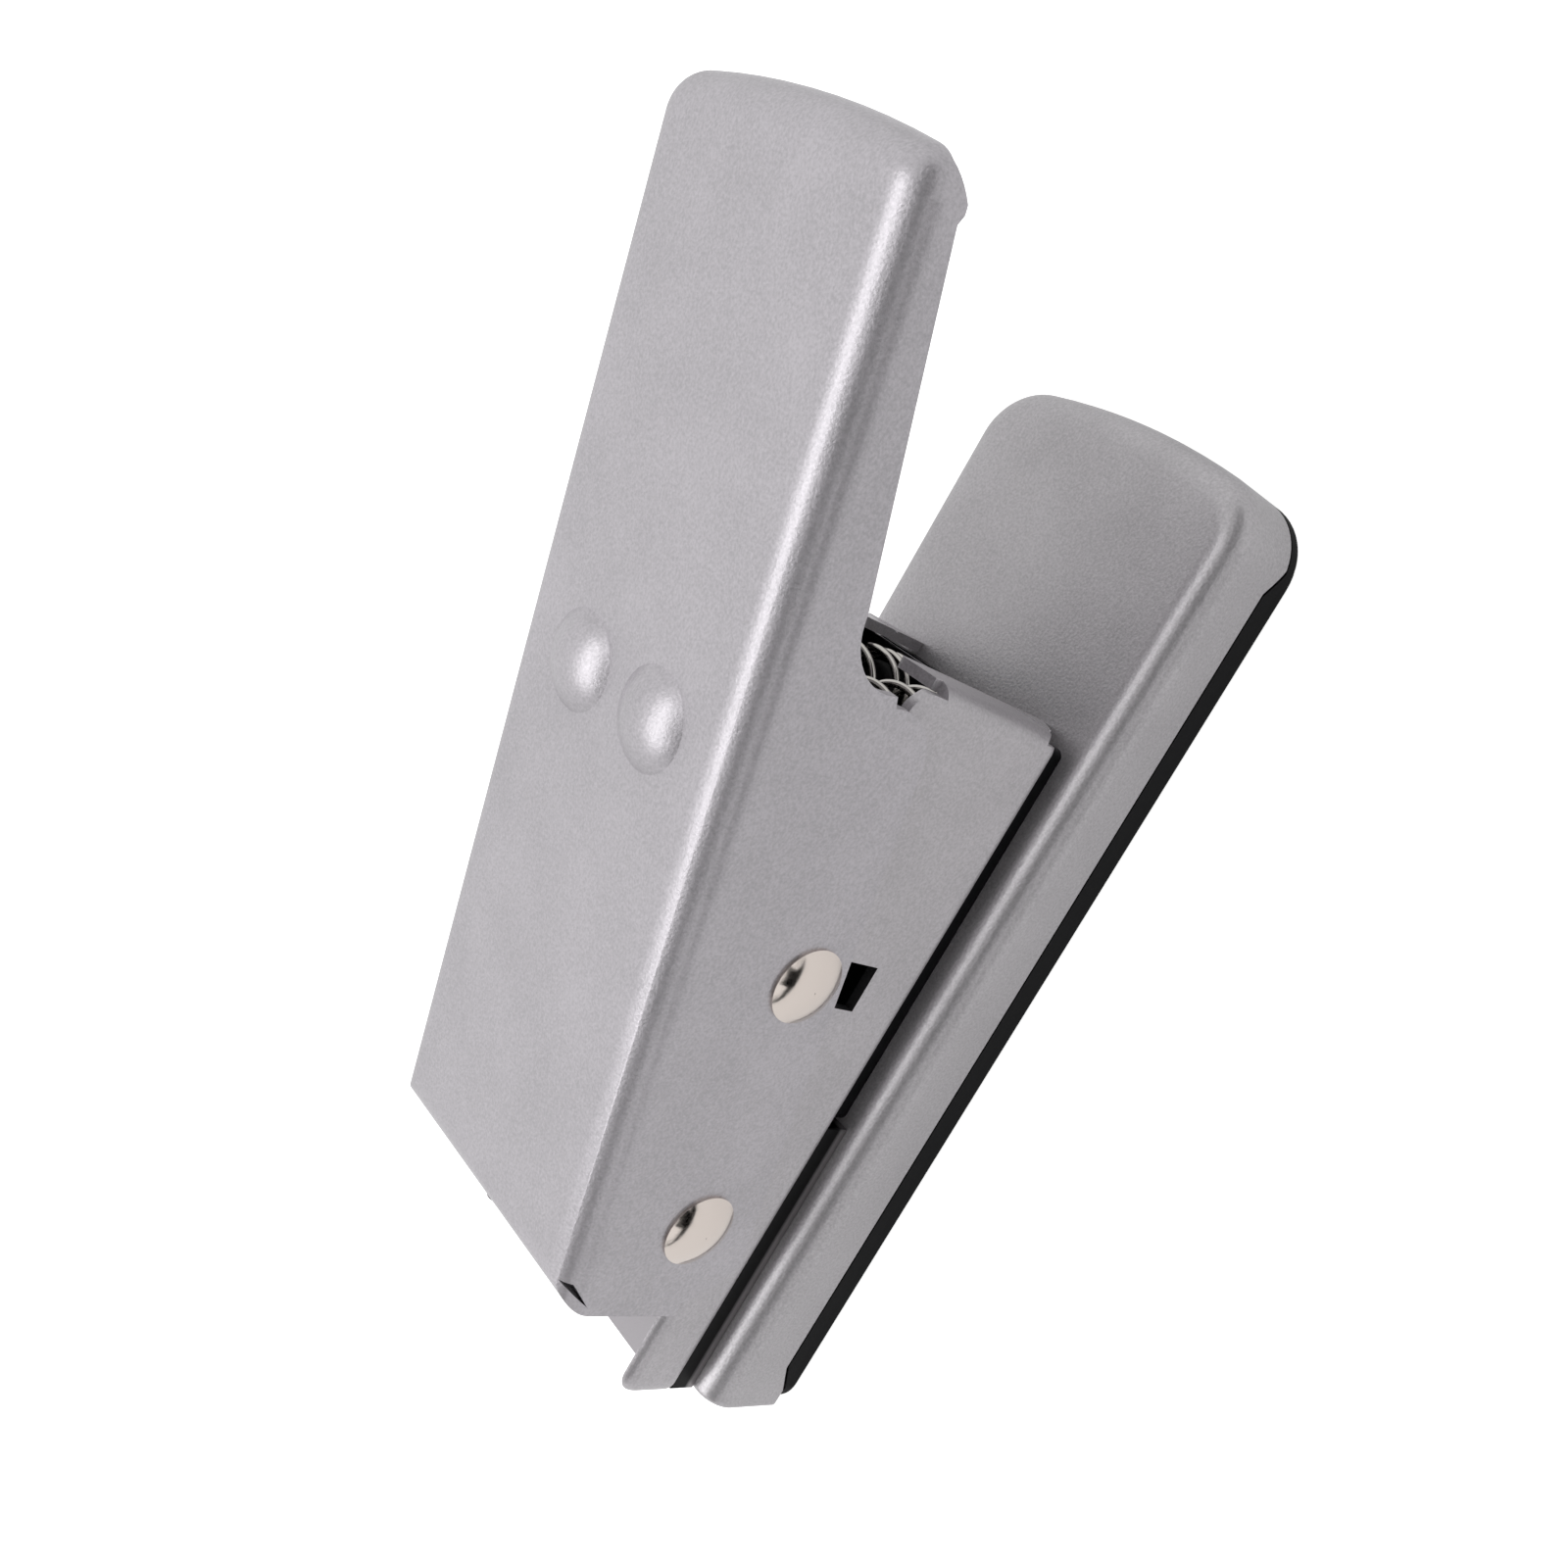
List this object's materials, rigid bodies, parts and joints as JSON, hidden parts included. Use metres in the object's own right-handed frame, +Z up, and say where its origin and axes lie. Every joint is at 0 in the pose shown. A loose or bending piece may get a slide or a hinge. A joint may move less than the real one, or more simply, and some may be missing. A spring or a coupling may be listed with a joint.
{
  "type": "guitar pick punch",
  "caption": "Hand-held punch with a hinged pressed-steel lever that drives a pick-shaped ram through a die plate on a hollow base with a snap-in tray.",
  "frame": {"origin": "centre of the base's underside, on the table", "axes": "+X along the base from the pivot end to the free end under the handle, +Y across, +Z up"},
  "size_m": [0.1246, 0.041, 0.0724],
  "materials": {
    "shell_paint": "satin silver-grey metallic paint",
    "frame_paint": "satin silver-grey metallic paint",
    "lever_paint": "satin silver-grey metallic paint",
    "tray_plastic": "matte black moulded",
    "guide_plastic": "matte black moulded",
    "die_steel": "ground",
    "punch_steel": "black oxide, satin",
    "nickel": "polished nickel plate",
    "zinc_steel": "zinc plated",
    "spring_wire": "bright drawn wire"
  },
  "bodies": {
    "base": {"base_shell": "shell_paint", "die_plate": "die_steel", "slot_spacer": "die_steel", "frame": "frame_paint", "guide_block": "guide_plastic", "pivot_tube": "zinc_steel", "frame_rivet_1": "zinc_steel", "frame_rivet_2": "zinc_steel", "frame_rivet_3": "zinc_steel", "frame_rivet_4": "zinc_steel", "die_rivet_1": "zinc_steel", "die_rivet_2": "zinc_steel", "die_rivet_3": "zinc_steel", "die_rivet_4": "zinc_steel", "guide_screw_1": "zinc_steel", "guide_screw_2": "zinc_steel", "guide_screw_3": "zinc_steel", "guide_screw_4": "zinc_steel", "spring_near": "spring_wire", "spring_far": "spring_wire"},
    "tray": {"bottom_tray": "tray_plastic"},
    "lever": {"lever": "lever_paint", "pivot_pin": "nickel", "drive_pin": "nickel", "spring_stud_near": "nickel", "spring_stud_far": "nickel"},
    "punch": {"punch": "punch_steel"}
  },
  "joints": [
    {"name": "lever_hinge", "type": "hinge", "parent": "base", "child": "lever", "pos_m": [-0.03544, 0, 0.03022], "axis": [0, 1, 0], "range_deg": [0, 15], "stiffness_Nm_per_rad": 2, "springref_deg": -6.88, "deforming": ["spring_near", "spring_far"]},
    {"name": "punch_slide", "type": "slide", "parent": "base", "child": "punch", "axis": [0, 0, -1], "range_m": [0, 0.0079]},
    {"name": "tray_slide", "type": "slide", "parent": "base", "child": "tray", "axis": [0, 0, -1], "range_m": [0, 0.014]}
  ],
  "couplings": [
    {"joint": "punch_slide", "follows": "lever_hinge", "m_per_rad": 0.029744}
  ]
}
